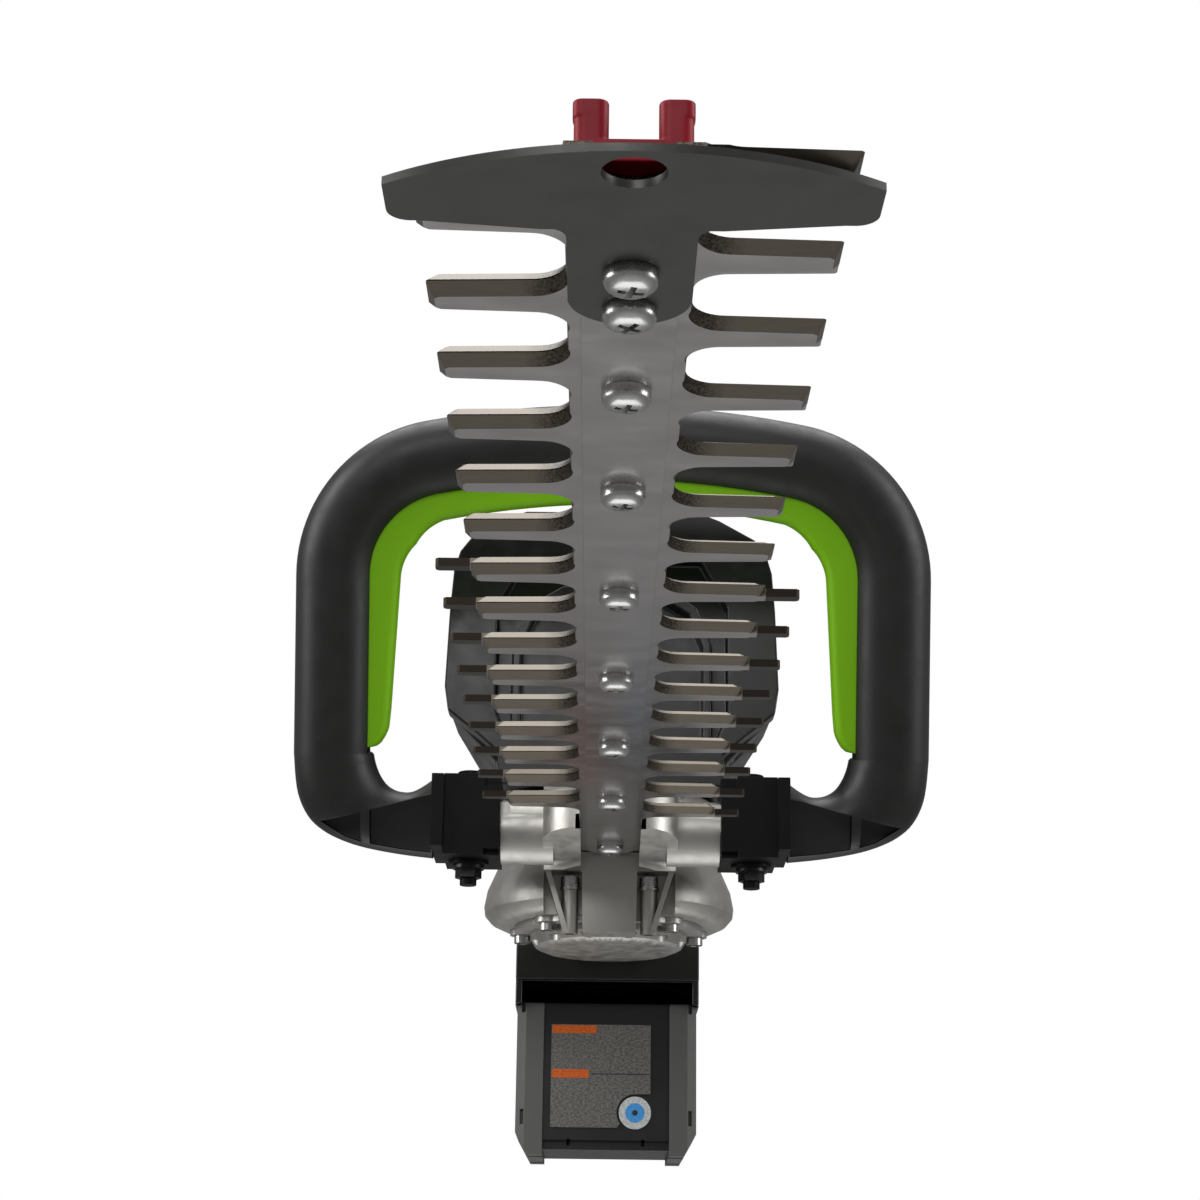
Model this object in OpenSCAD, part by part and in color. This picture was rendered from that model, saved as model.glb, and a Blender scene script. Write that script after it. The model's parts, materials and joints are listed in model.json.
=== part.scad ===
// Cordless double-sided hedge trimmer. The blades point along -Y, the battery
// hangs below the housing, and the rear handle turns about the tool's long axis.
// Stations (s) count along the tool; the tip guard starts a little ahead of station 0.
// Heights (z) inside station() count from the underside of the lower blade.

/* [Overall] */
// Length from the tip guard to the back of the rear handle
total_l = 1206; // [1196:5:1236]
// How far the tip guard reaches ahead of station 0
guard_lead = 7; // [6:0.5:8]
// Height of the lower blade's underside above the battery's foot
blade_z = 140; // [140:1:150]

/* [Blades] */
// Distance between neighbouring teeth
pitch = 43; // [42:0.5:43.5]
// How far the left row of teeth sits behind the right row
stagger = 24; // [22:0.5:26]
// Thickness of each blade
blade_t = 2.8; // [2.4:0.1:2.8]
// Width of a blade's solid centre strip
blade_w = 30; // [29:0.5:32]
// Width of a tooth on the centre line, before its taper
tooth_w = 17; // [15:0.5:17]
// Reach of a tooth from the centre line
tooth_reach = 48; // [44:1:52]
// Reach of the blunt guard fingers from the centre line
finger_reach = 59.5; // [54:0.5:62]
// Full stroke of each blade
stroke = 21; // [18:0.5:21]

/* [Front handle] */
// Overall width of the wrap-around handle
loop_w = 316; // [300:2:330]
// Forward lean of the handle
loop_lean = 17; // [14:0.5:18]
// Travel of the green switch bar
bar_travel = 3; // [2:0.5:3]

/* [Housing] */
// Overall width of the front shroud
shroud_w = 173; // [170:1:180]
// Width of the battery pack
pack_w = 98; // [94:1:98]
// Depth of the battery pack, front to back
pack_d = 78; // [76:1:80]

/* [Gears] */
// Teeth on the crank gear
gear_teeth = 48; // [48:1:48]
// Teeth on the motor pinion
pinion_teeth = 9; // [9:1:9]

/* [Hidden] */
$fn = 48;

// Blade stack, from below: guard, lower bar, lower blade, upper blade, upper bar
gap = 0.3;
bar_t = 1.2;
guard_t = 2;
upper_z = blade_t + gap;
top_bar_z = upper_z + blade_t + gap;
top_bar_t = 3;
lower_bar_z = -gap - bar_t;
guard_z = lower_bar_z - guard_t;
guard_half = 53;
bow_r = 94;
clip_t = 2.4;

// Teeth: station of the first one on each side, and how many
first_right = 10;
first_left = first_right + stagger;
right_n = 16;
left_n = 15;
upper_shift = 2 * stagger - pitch;
bevel = 3;
taper = 2.4;
finger_w = 5;
lower_finger_from = 7;
upper_finger_from = 6;
root_x = blade_w / 2;
gullet_r = 8.5;
tip_angle = 28;
hang_r = 7;
hang_s = 2.5;
tip_slot_r = hang_r + 1.6;
tip_slot_s = 14;

// Bolts through the blades
bolt_gap = 104;
bolt_s = concat([51, 71, 127, 203], [for (i = [0:4]) 303 + bolt_gap * i]);
bush_r = 4.5;
slot_r = bush_r + 0.35;
bolt_r = 3;

// Gearbox
crank_s = 800;
nose_s = 684;
nose_w = 66;
notch_s = 757;
pocket_roof = 10;
web_bottom = -41;
nose_screw = [19.8, 750.6, 0];
drum_top = 9;
cover_seat = -30;
dome = -42;
flange_t = 3;
eccentric = stroke / 2;
neck_r = 3.5;
yoke_r = neck_r + eccentric + 0.6;
mod_g = 1.5;
gear_r = mod_g * gear_teeth / 2;
pinion_r = mod_g * pinion_teeth / 2;
motor_s = crank_s + gear_r + pinion_r;
gear_z = 12;
gear_h = 9;
cavity_r = 50;
sump_r = 38;
ceiling = 24;
drum_roof = 34;
cover_holes = [[-31, crank_s - 34], [31, crank_s - 34], [-45, crank_s + 8],
    [45, crank_s + 8], [-20, crank_s + 42], [20, crank_s + 42]];

// Front handle: a loop in a leaning plane that stands on the clamp level
clamp_s = 729;
clamp_z = 12;
clamp_x = 70;
tube_r = 17.5;
tube_flat = 2;
tube_half = tube_r + tube_flat;
leg_x = loop_w / 2 - tube_half;
top_v = 188;
corner_r = 59;
crown_r = 480;
foot_r = 28;
strut_x = 88;
strut_size = 0.86;
tongue = 5;
bar_w = 7.2;
bar_proud = [7.5, 12.7, 14.5, 10];
groove_w = bar_w + 0.4;
groove_v = 33;
groove_deep = tongue + bar_travel + 1.5;
tube_sides = 24;
crown_a = asin((leg_x - corner_r) / (crown_r - corner_r));
corner_v = top_v - crown_r + (crown_r - corner_r) * cos(crown_a);

// Housing and battery
shroud_s = 754;
pack_s = 873;
pack_bottom = -blade_z;
pack_top = 6;
bay_top = 20;
hub_s = 1000;
hub_z = 52;
hub_r = 40;
neck_clear = 33.6;
housing_bosses = [[784, 60], [784, 166], [880, 140], [952, 36], [934, 106]];

// Rear handle
handle_t = 36;
handle_bosses = [[1020, 34], [1036, 92], [1140, 90], [1184, 40], [1150, -8], [1050, -12]];
trigger_pin = [1061, 74];
handle_back = total_l - guard_lead;

// Places a part drawn in stations and blade heights into the tool's own frame
module station() translate([0, guard_lead - total_l / 2, blade_z]) children();

// A box between two corners
module block(a, b) translate(a) cube(b - a);

// A disc from height z0 to z1 about a vertical axis
module post(r, z0, z1) translate([0, 0, z0]) cylinder(r = r, h = z1 - z0);

// A flat outline raised from height z0 by h
module raised(z0, h) translate([0, 0, z0]) linear_extrude(height = h) children();

// A flat plate with round ends, from station a to b
module slot_plate(r, a, b, z0, z1) {
    for (s = [a, b]) translate([0, s, 0]) post(r, z0, z1);
    block([-r, a, z0], [r, b, z1]);
}

// Left and right copies
module both() {
    children();
    mirror([1, 0, 0]) children();
}

// A plate with four round corners of radius r, in X and Y
module round_plate(w, l, h, r) {
    for (x = [r, w - r], y = [r, l - r]) translate([x, y, 0]) cylinder(r = r, h = h);
    translate([r, 0, 0]) cube([w - 2 * r, l, h]);
    translate([0, r, 0]) cube([w, l - 2 * r, h]);
}

// ---- Blades ----

// One side of a tooth's wedge: a bevelled bar along +X, swung by the taper angle
module tooth_bar(turn) rotate([0, 0, turn])
    rotate([90, 0, 90]) linear_extrude(height = tooth_reach + 6)
        polygon([[-tooth_w / 2, blade_t], [tooth_w / 2, blade_t],
            [tooth_w / 2 - bevel, 0], [-tooth_w / 2 + bevel, 0]]);

// One tooth on the +X side, with its cutting face at the top
module tooth(finger) {
    intersection() {
        tooth_bar(taper);
        tooth_bar(-taper);
        block([root_x - 6, -tooth_w, -1], [tooth_reach, tooth_w, blade_t + 1]);
        translate([tooth_reach, 0, 0]) rotate([0, tip_angle, 0])
            block([-90, -tooth_w, -60], [-blade_t * sin(tip_angle), tooth_w, 60]);
    }
    translate([root_x, 0, 0]) difference() {
        block([-1, -tooth_w / 2 - gullet_r, 0], [gullet_r, tooth_w / 2 + gullet_r, blade_t]);
        for (m = [0, 1]) mirror([0, m, 0])
            translate([gullet_r, tooth_w / 2 + gullet_r, 0]) post(gullet_r, -1, blade_t + 1);
    }
    if (finger) block([tooth_reach - 8, -finger_w / 2, 0], [finger_reach, finger_w / 2, blade_t]);
}

// A whole blade drawn for the lower place, cutting face up. Each row is its first
// station, its number of teeth and the first tooth with a guard finger.
module blade(right, left) {
    front_s = min(right[0], left[0]) - tooth_w / 2;
    difference() {
        union() {
            block([-root_x, front_s, 0], [root_x, crank_s - 20, blade_t]);
            for (i = [0:right[1] - 1]) translate([0, right[0] + pitch * i, 0])
                tooth(i >= right[2]);
            for (i = [0:left[1] - 1]) translate([0, left[0] + pitch * i, 0])
                mirror([1, 0, 0]) tooth(i >= left[2]);
            yoke();
        }
        for (s = bolt_s) slot_plate(slot_r, s - stroke / 2 - 1, s + stroke / 2 + 1, -1, blade_t + 1);
        slot_plate(tip_slot_r, -20, tip_slot_s, -1, blade_t + 1);
        block([-60, front_s - 20, -1], [60, front_s, blade_t + 1]);
        translate([0, crank_s, 0]) yoke_slot();
    }
}

// Cross-slotted plate at the blade's back end
module yoke() translate([-30, crank_s - 26, 0]) round_plate(60, 52, blade_t, 8);
module yoke_slot() {
    for (x = [-eccentric, eccentric]) translate([x, 0, 0]) post(yoke_r, -1, blade_t + 1);
    block([-eccentric, -yoke_r, -1], [eccentric, yoke_r, blade_t + 1]);
}

module lower_blade() color("#8d8a92") station()
    blade([first_right, right_n, lower_finger_from], [first_left, left_n, left_n]);

// The upper blade is a stamping of the same form turned over
module upper_blade() color("#a7a4aa") station()
    translate([0, 0, upper_z + blade_t]) rotate([0, 180, 0])
        blade([first_left, left_n, upper_finger_from],
            [first_right + upper_shift, right_n, right_n]);

// ---- Bars, guard and bolts ----

module lower_guide_bar() color("#7f7d84") station() difference() {
    slot_plate(11.5, 30, 731.5, lower_bar_z, -gap);
    for (s = bolt_s) translate([0, s, 0]) post(bolt_r, lower_bar_z - 1, 1);
}

module upper_guide_bar() color("#6f6e74") station() difference() {
    union() {
        slot_plate(11.5, 36, 728, top_bar_z, top_bar_z + top_bar_t);
        block([-11.5, 720, top_bar_z], [11.5, 745, top_bar_z + top_bar_t]);
    }
    for (s = bolt_s) translate([0, s, 0]) post(bolt_r, top_bar_z - 1, top_bar_z + 10);
}

// Cross piece of the guard: bowed front edge, swept rear edge, rounded back corners
module guard_wing() intersection() {
    translate([0, bow_r - guard_lead, 0]) post(bow_r, guard_z, lower_bar_z);
    union() {
        translate([-guard_half, 4, guard_z]) round_plate(2 * guard_half, 22, guard_t, 5);
        block([-guard_half, -guard_lead - 1, guard_z], [guard_half, 16, lower_bar_z]);
        raised(guard_z, guard_t)
            polygon([[-46, 26], [46, 26], [20, 29.5], [-20, 29.5]]);
    }
}

// T-shaped plate under the tip: the cross piece and a tongue to the second bolt
module tip_guard() color("#3c3c3a") station() difference() {
    union() {
        guard_wing();
        block([-14.5, 10, guard_z], [14.5, 68, lower_bar_z]);
        translate([0, 66, 0]) post(14.5, guard_z, lower_bar_z);
        difference() {
            block([-19, 24, guard_z], [19, 33.5, lower_bar_z]);
            both() translate([18.9, 33.5, 0]) post(4.4, guard_z - 1, 0);
        }
    }
    translate([0, hang_s, 0]) post(hang_r, guard_z - 1, 1);
    for (s = [51, 71]) translate([0, s, 0]) post(bolt_r, guard_z - 1, 1);
}

// Red fork that clips over the front of the upper bar, held by the first bolt
module tip_clip() color("#a01028") station() difference() {
    union() {
        translate([-13, 16, top_bar_z]) round_plate(26, 42, top_bar_t + clip_t, 3);
        both() translate([5.4, 16, top_bar_z]) {
            round_plate(7.6, 6, 15, 2.4);
            translate([1.5, 0, 11]) round_plate(6.4, 6, 4, 2);
        }
    }
    slot_plate(11.8, 36, 70, top_bar_z - 1, top_bar_z + top_bar_t);
    translate([0, bolt_s[0], 0]) post(bolt_r, 0, 40);
}

// Pan head with a cross recess, its shank and the end in the nut
module blade_bolt(s, deep) translate([0, s, 0]) difference() {
    union() {
        post(bolt_r - 0.05, deep - 1, top_bar_z + top_bar_t + 7.6);
        translate([0, 0, deep]) mirror([0, 0, 1]) rotate_extrude()
            polygon([[0, 0], [6.4, 0], [6.3, 2.2], [5.6, 3.9], [4.3, 4.9], [0, 5.2]]);
    }
    for (a = [0, 90]) rotate([0, 0, a]) translate([-3.2, -0.6, deep - 7]) cube([6.4, 1.2, 4.4]);
}

module blade_bolts() color("#c9c9c9") station()
    for (s = bolt_s) blade_bolt(s, s < 90 ? guard_z : lower_bar_z);

module blade_spacers() color("#b0b0b0") station() for (s = bolt_s) translate([0, s, 0])
    difference() {
        post(bush_r, -gap, top_bar_z);
        post(bolt_r, -1, top_bar_z + 1);
    }

module blade_nuts() color("#9a9a9a") station() for (s = bolt_s)
    translate([0, s, top_bar_z + top_bar_t + (s == bolt_s[0] ? clip_t : 0)])
        difference() {
            union() {
                post(6.2, 0, 0.8);
                translate([0, 0, 0.8]) cylinder(r = 5.6, h = 4, $fn = 6);
            }
            post(bolt_r - 0.05, -1, 6);
        }

// Felt seal that wipes the blades where they enter the gearbox
module blade_seal() color("#5a5248") station() difference() {
    block([-18.6, 750, -2], [18.6, 756, top_bar_z + 4]);
    block([-16.6, 749, -gap], [16.6, 757, top_bar_z]);
}

// ---- Gearbox ----

// Outline of the gear drum, turned about the crank axis
module drum() rotate_extrude($fn = 72) polygon([
    [0, cover_seat], [56, cover_seat], [61.5, -27.5], [64.5, -24], [65, -20], [63.5, -12],
    [57, 3], [55.5, drum_top], [55, drum_roof], [0, drum_roof]]);

// Nose: two cheeks beside the blades, over a web and two raked ribs
module nose() difference() {
    union() {
        intersection() {
            translate([-nose_w / 2, nose_s, -30]) round_plate(nose_w, 110, 54, 20);
            rotate([90, 0, 90]) linear_extrude(height = 80, center = true)
                polygon([[nose_s, 0], [nose_s + 12, -2], [735, -6], [742, -pocket_roof],
                    [792, -pocket_roof], [792, 24], [nose_s + 20, 24], [nose_s, 14]]);
        }
        along(744, notch_s + 1) polygon([[-14, -3], [14, -3], [13.2, web_bottom], [-13.2, web_bottom]]);
        both() {
            along(745.5, notch_s + 1) polygon([[33, -8], [30.2, -8], [20, web_bottom], [22.6, web_bottom]]);
            translate(nose_screw) post(4.2, web_bottom, -19);
        }
    }
    block([-14.5, nose_s - 1, -10], [14.5, 744, 0]);
}

// Round arms and flat tongues that carry the clamp blocks of the front handle
module handle_arm() {
    translate([28, clamp_s, 6]) rotate([0, 90, 0]) cylinder(r = 16, h = 26);
    block([50, 714, 4], [80, 744, 18]);
}

module gear_case() color("#b9b7b2") station() difference() {
    union() {
        difference() {
            translate([0, crank_s, 0]) drum();
            block([-33, crank_s - 70, -60], [33, notch_s, -pocket_roof]);
        }
        nose();
        both() handle_arm();
    }
    translate([0, crank_s, 0]) {
        post(sump_r, cover_seat - 1, -8);
        post(cavity_r, -8.2, ceiling);
        post(13, ceiling - 1, ceiling + 7);
    }
    translate([0, motor_s, 0]) {
        post(pinion_r + 3.5, gear_z - 1, ceiling);
        post(4, ceiling - 1, drum_roof + 1);
        post(8, ceiling + 3, drum_roof + 1);
    }
    block([-17, nose_s - 1, -gap - 0.1], [17, crank_s - 30, top_bar_z + 0.2]);
    block([-12, nose_s - 1, 4], [12, 746, top_bar_z + top_bar_t + 9]);
    block([-18.8, 749.8, -2.2], [18.8, 756.2, top_bar_z + 4.2]);
    both() translate([clamp_x, clamp_s, -50]) cylinder(r = 4.2, h = 100);
    block([-14.5, nose_s - 1, -10], [14.5, 744, 0]);
    both() translate(nose_screw) post(2.4, web_bottom - 1, -10);
    for (p = cover_holes) translate([p[0], p[1], 0]) post(2.1, cover_seat - 2, cover_seat + 12);
}

// Domed bottom cover with its flange, screw lugs and the seat of the lower bearing
module gear_cover() color("#a9a7a2") station() difference() {
    union() {
        translate([0, crank_s, 0]) {
            difference() {
                union() {
                    post(49, cover_seat - flange_t, cover_seat);
                    rotate_extrude() polygon([[0, dome], [33, dome], [38, dome + 2], [40.5, dome + 6],
                        [41, cover_seat], [0, cover_seat]]);
                    post(sump_r - 0.2, cover_seat, cover_seat + 3);
                }
                post(32, dome + 3, cover_seat + 4);
            }
            post(14, dome + 1, cover_seat + 9);
        }
        for (p = cover_holes) translate([p[0], p[1], 0]) post(6.5, cover_seat - flange_t, cover_seat);
    }
    block([-33.5, crank_s - 60, -60], [33.5, notch_s + 1.2, 0]);
    for (p = cover_holes) translate([p[0], p[1], 0]) {
        post(2.1, dome, cover_seat + 9);
        post(5, dome - 1, cover_seat - flange_t);
    }
    translate([0, crank_s, 0]) {
        post(11, cover_seat + 2, cover_seat + 10);
        for (a = [15:30:345]) rotate(a) translate([42, 0, 0]) post(5, dome - 1, dome + 5);
    }
}

// Socket cap screw pointing up, its head below
module cap_screw(head_r, head_h, shank_r, shank_l) difference() {
    union() {
        post(head_r, -head_h, 0);
        post(shank_r, -0.5, shank_l);
    }
    translate([0, 0, -head_h - 1]) cylinder(r = head_r * 0.55, h = 3.4, $fn = 6);
}

module cover_screws() color("#c6c6c6") station() for (p = cover_holes)
    translate([p[0], p[1], cover_seat - flange_t]) cap_screw(4.3, 4, 2.05, 12);

// Screws that stand head up in the nose's bosses, on a washer
module nose_screws() color("#cfcfcf") station() both() translate(nose_screw) {
    translate([0, 0, -17.8]) mirror([0, 0, 1]) cap_screw(4.7, 5.6, 2.35, 18);
    post(5.2, -18.9, -17.7);
}

// Spur gear outline: one round-backed tooth per step
module gear_2d(teeth, r) {
    circle(r = r - mod_g * 1.15);
    for (i = [0:teeth - 1]) rotate(i * 360 / teeth)
        polygon([[r - mod_g * 1.4, -mod_g * 0.94], [r + mod_g * 0.8, -mod_g * 0.32],
            [r + mod_g * 0.8, mod_g * 0.32], [r - mod_g * 1.4, mod_g * 0.94]]);
}

module crank_gear() color("#80766a") station() translate([0, crank_s, gear_z]) difference() {
    union() {
        rotate(90) linear_extrude(height = gear_h) gear_2d(gear_teeth, gear_r);
        post(14, -2, gear_h + 1);
    }
    post(8, -4, gear_h + 4);
    for (a = [0:60:300]) rotate(a) translate([22, 0, 0]) post(5, -1, gear_h + 1);
}

// Crank shaft with the two eccentric discs, half a turn apart
module eccentric_shaft() color("#8f9094") station() translate([0, crank_s, 0]) {
    post(5.98, cover_seat + 2.5, cover_seat + 9);
    post(8, cover_seat + 8.4, -4);
    translate([eccentric, 0, 0]) post(12.6, -5, -0.5);
    post(neck_r, -1, top_bar_z + 1);
    translate([-eccentric, 0, 0]) post(12.6, top_bar_z + 0.3, gear_z - 2.4);
    post(7.98, gear_z - 3, ceiling - 1.8);
    post(5.98, ceiling - 2, ceiling + 6.6);
}

// Ball bearing: two races with a shield groove between them
module bearing(inner, outer, h) difference() {
    post(outer - 0.02, 0, h);
    post(inner, -1, h + 1);
    for (z = [-1, h - 0.6]) difference() {
        post(outer - 1.6, z, z + 1.6);
        post(inner + 1.6, z - 1, z + 2);
    }
}

module crank_bearings() color("#b8babd") station() translate([0, crank_s, 0]) {
    translate([0, 0, cover_seat + 2.2]) bearing(6, 11, 6);
    translate([0, 0, ceiling]) bearing(6, 13, 6.8);
}

// ---- Motor ----

module motor_pinion() color("#90887c") station() translate([0, motor_s, gear_z]) difference() {
    rotate(-90 + 180 / pinion_teeth) linear_extrude(height = gear_h) gear_2d(pinion_teeth, pinion_r);
    post(3, -1, gear_h + 1);
}

module motor_shaft() color("#a8a8ac") station() translate([0, motor_s, 0])
    post(2.98, gear_z + 0.5, 112);

module motor_rotor() color("#55565a") station() translate([0, motor_s, 0]) difference() {
    post(15, 52, 88);
    post(3, 50, 90);
    for (a = [0:90:270]) rotate(a) translate([9, 0, 0]) post(2, 50, 90);
}

module motor_stator() color("#6a6b70") station() translate([0, motor_s, 0]) difference() {
    post(27, 50, 90);
    post(15.6, 49, 91);
    for (a = [0:60:300]) rotate(a) {
        translate([20.5, 0, 0]) post(3.1, 49, 91);
        block([15, -1, 49], [20, 1, 91]);
    }
}

module motor_windings() color("#b5651d") station() translate([0, motor_s, 0])
    for (z = [[44, 50], [90, 96]]) difference() {
        post(25, z[0], z[1]);
        post(16.4, z[0] - 1, z[1] + 1);
    }

module motor_fan() color("#2b2b2b") station() translate([0, motor_s, 97]) difference() {
    union() {
        post(6, 0, 8);
        post(23, 6.6, 8);
        for (a = [0:30:330]) rotate(a) block([5, -0.7, 0.5], [22, 0.7, 7]);
    }
    post(3, -3, 12);
}

module motor_bearings() color("#b8babd") station() translate([0, motor_s, 0]) {
    translate([0, 0, ceiling + 3.1]) bearing(3, 8, 5);
    translate([0, 0, 107]) bearing(3, 8, 5);
}

// Bracket under and over the stator; its top seat holds the upper bearing
module motor_bracket() color("#3a3a3c") station() translate([0, motor_s, 0]) difference() {
    post(31, drum_roof, 114);
    post(27.2, drum_roof - 1, 105.6);
    post(8, 107, 115);
    post(6.5, 105, 108);
    for (a = [45:90:315]) rotate(a) block([20, -9, 60], [40, 9, 82]);
    for (a = [0:90:270]) rotate(a) block([20, -8, 97], [40, 8, 104]);
}

// ---- Front handle ----

// Carries a shape from the loop's own plane (x, v up the plane, depth) to the tool
module loop_plane() station() translate([0, clamp_s, clamp_z])
    rotate([90 + loop_lean, 0, 0]) children();

// Skins a list of rings, each with the same number of points, into one solid
module skin(rings) {
    k = len(rings[0]);
    last = (len(rings) - 1) * k;
    polyhedron(points = [for (ring = rings) each ring], faces = concat(
        [[for (j = [k - 1:-1:0]) j], [for (j = [0:k - 1]) last + j]],
        [for (i = [0:k:last - 1], j = [0:k - 1]) each let (a = i + j, b = i + (j + 1) % k)
            [[a, b, b + k], [a, b + k, a + k]]]));
}

// Stations of the loop's centre line: [x, v, angle of the outward normal, size, grooved]
function arc_line(c, r, a, b, n, size, groove) = [for (i = [0:n]) let (f = i / n, w = a + (b - a) * f)
    [c[0] + r * cos(w), c[1] + r * sin(w), w, size + (1 - size) * f, groove]];
function top_line() = concat(
    arc_line([leg_x - corner_r, corner_v], corner_r, 0, 90 - crown_a, 14, 1, true),
    [for (q = arc_line([0, top_v - crown_r], crown_r, 90 - crown_a, 90, 5, 1, true))
        if (q[2] > 90.01 - crown_a) q]);
function half_line() = concat([[strut_x, 0, -90, strut_size, false]],
    arc_line([leg_x - foot_r, foot_r], foot_r, -90, 0, 10, strut_size, false),
    [[leg_x, groove_v - 0.02, 0, 1, false], [leg_x, groove_v, 0, 1, true]], top_line());
function bar_line() = concat([[leg_x, groove_v + 3, 0, 1, true]], top_line());
// How far the bar stands proud: grows up the leg, widest in the corner, slimmer on top
function proud(q) = let (f = q[2] / (90 - crown_a))
    q[2] == 0 ? bar_proud[0] + (bar_proud[1] - bar_proud[0]) * (q[1] - groove_v) / (corner_v - groove_v)
    : f < 0.5 ? bar_proud[1] + (bar_proud[2] - bar_proud[1]) * 2 * f
    : f < 1 ? bar_proud[2] + (bar_proud[3] + 1 - bar_proud[2]) * (2 * f - 1)
    : bar_proud[3] + (90 - q[2]) / crown_a;
function whole(half) = concat(half,
    [for (i = [len(half) - 2:-1:0]) let (q = half[i]) [-q[0], q[1], 180 - q[2], q[3], q[4]]]);

// Carries section points (outward, through) to a station of the centre line
function ring(q, section) = [for (p = section) [q[0] + p[0] * cos(q[2]), q[1] + p[0] * sin(q[2]), p[1]]];

// Handle section, wider across the loop than through it, with the groove for the bar
function tube_pts(size, grooved) = let (open = asin(groove_w / tube_r), floor_x = tube_half - groove_deep)
    concat([for (i = [0:tube_sides - 1]) let (w = (180 - open) * (2 * i / (tube_sides - 1) - 1))
        size * [tube_r * cos(w) + (cos(w) < 0 ? -tube_flat : tube_flat), tube_r * sin(w)]],
        grooved ? [[-floor_x, groove_w], [-floor_x, -groove_w]]
            : [for (w = [open / 3, -open / 3]) size * [-tube_r * cos(w) - tube_flat, tube_r * sin(w)]]);

// Bar section: a tongue in the groove and a proud face with round edges
function bar_pts(out) = concat([[-tube_half + tongue, -bar_w], [-tube_half + tongue, bar_w]],
    [for (w = [0:30:90]) [-tube_half - out + 3 - 3 * sin(w), bar_w - 3 + 3 * cos(w)]],
    [for (w = [90:-30:0]) [-tube_half - out + 3 - 3 * sin(w), -bar_w + 3 - 3 * cos(w)]]);

module front_handle() color("#1b1b19") loop_plane() difference() {
    skin([for (q = whole(half_line())) ring(q, tube_pts(q[3], q[4]))]);
    block([-11, top_v - 12, -8], [11, top_v + 4, 8]);
}

// U-shaped lime switch bar along the inside of the loop
module front_switch_bar() color("#84c81e") loop_plane()
    skin([for (q = whole(bar_line()))
        ring(q, bar_pts(proud(q[2] > 90 ? [q[0], q[1], 180 - q[2]] : q)))]);

module front_micro_switch() color("#303030") loop_plane() {
    block([-10, top_v - 9, -4], [10, top_v - 1, 4]);
    block([-2, top_v - 10.2, -2], [2, top_v - 9, 2]);
}

module switch_bar_springs() color("#c0c0c0") loop_plane() both()
    translate([15, top_v - 14.2, 0]) rotate([-90, 0, 0]) difference() {
        cylinder(r = 2.5, h = 3.8);
        translate([0, 0, -1]) cylinder(r = 1.7, h = 6);
    }

// Clamp block that grips the strut of the loop and the casting's arm
module clamp_block() difference() {
    union() {
        block([54.3, 708, -9], [86, 750, 31]);
        block([82, 705, -14], [88, 753, 32.5]);
        translate([clamp_x, clamp_s, 0]) post(10, -11, 32.5);
    }
    block([49, 713.8, 3.8], [80.3, 744.2, 18.2]);
    translate([clamp_x, clamp_s, 0]) post(4.2, -50, 50);
    for (z = [-16, 25]) block([54, 700, z], [62, 712, z + 10]);
}

module right_clamp_block() color("#1e1e1c") station() clamp_block();
module left_clamp_block() mirror([1, 0, 0]) right_clamp_block();

module clamp_bolts() color("#26262a") station() both() translate([clamp_x, clamp_s, 0]) {
    post(4.15, -21, 33);
    translate([0, 0, 32.5]) cylinder(r = 6.5, h = 3.5);
}

module clamp_nuts() color("#1c1c1e") station() both() translate([clamp_x, clamp_s, 0]) difference() {
    union() {
        post(7.8, -13, -11);
        translate([0, 0, -17.5]) cylinder(r = 6.6, h = 5, $fn = 6);
    }
    post(4.15, -30, 0);
}

// ---- Housing ----

// Front outline of the shroud, shrunk by t
function half_front(t) = [[58 - t, 36 + t], [58 - t, 53], [69 - t, 62.5], [84.5 - t, 75],
    [shroud_w / 2 - t, 88], [85 - t, 130], [83.5 - t, 151], [80.5 - t, 161.5], [74.5 - t, 169.5 - t / 2],
    [56 - t, 180 - t], [46 - t / 2, 184 - t]];
function mirrored(half) = concat(half, [for (i = [len(half) - 1:-1:0]) [-half[i][0], half[i][1]]]);

// Extrudes a front outline (x, z) from station a to b
module along(a, b) translate([0, b, 0]) rotate([90, 0, 0]) linear_extrude(height = b - a) children();

// Extrudes a side outline (s, z) between two x values
module across(a, b) translate([a, 0, 0]) rotate([90, 0, 90]) linear_extrude(height = b - a) children();

module front_shroud() color("#232321") station() difference() {
    along(shroud_s, shroud_s + 14) polygon(mirrored(half_front(0)));
    difference() {
        along(shroud_s - 1, shroud_s + 10) polygon(mirrored([[54, 60], [60, 76], [60, 132], [46, 158]]));
        along(shroud_s - 2, shroud_s + 11) difference() {
            polygon(mirrored([[51.5, 40], [51.5, 112], [44, 132], [26, 143]]));
            polygon(mirrored([[47, 39], [47, 110], [40, 128], [24, 138]]));
        }
    }
}

// Outer form of the main housing, shrunk by t
module housing_form(t) intersection() {
    across(-90, 90) polygon([[768 + t, 36 + t], [862 + t, 36 + t], [862 + t, bay_top + 2 + t],
        [959 + t, bay_top + 2 + t], [964 + t, 8 + t], [986, 8 + t], [986, 92 - t], [940, 120 - t],
        [880, 158 - t], [820, 181 - t], [768 + t, 184 - t]]);
    translate([0, 0, -60]) linear_extrude(height = 300)
        polygon(mirrored([[84 - t, 760], [82 - t, 800], [66 - t, 868], [50 - t, 930], [41 - t, 986],
            [40 - t, 990]]));
    along(760, 990) polygon(mirrored([[58 - t, 0], [60 - t, 52], [84 - t, 76], [85 - t, 90],
        [83 - t, 130], [69 - t, 170 - t / 2], [45 - t / 2, 184 - t]]));
}

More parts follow.
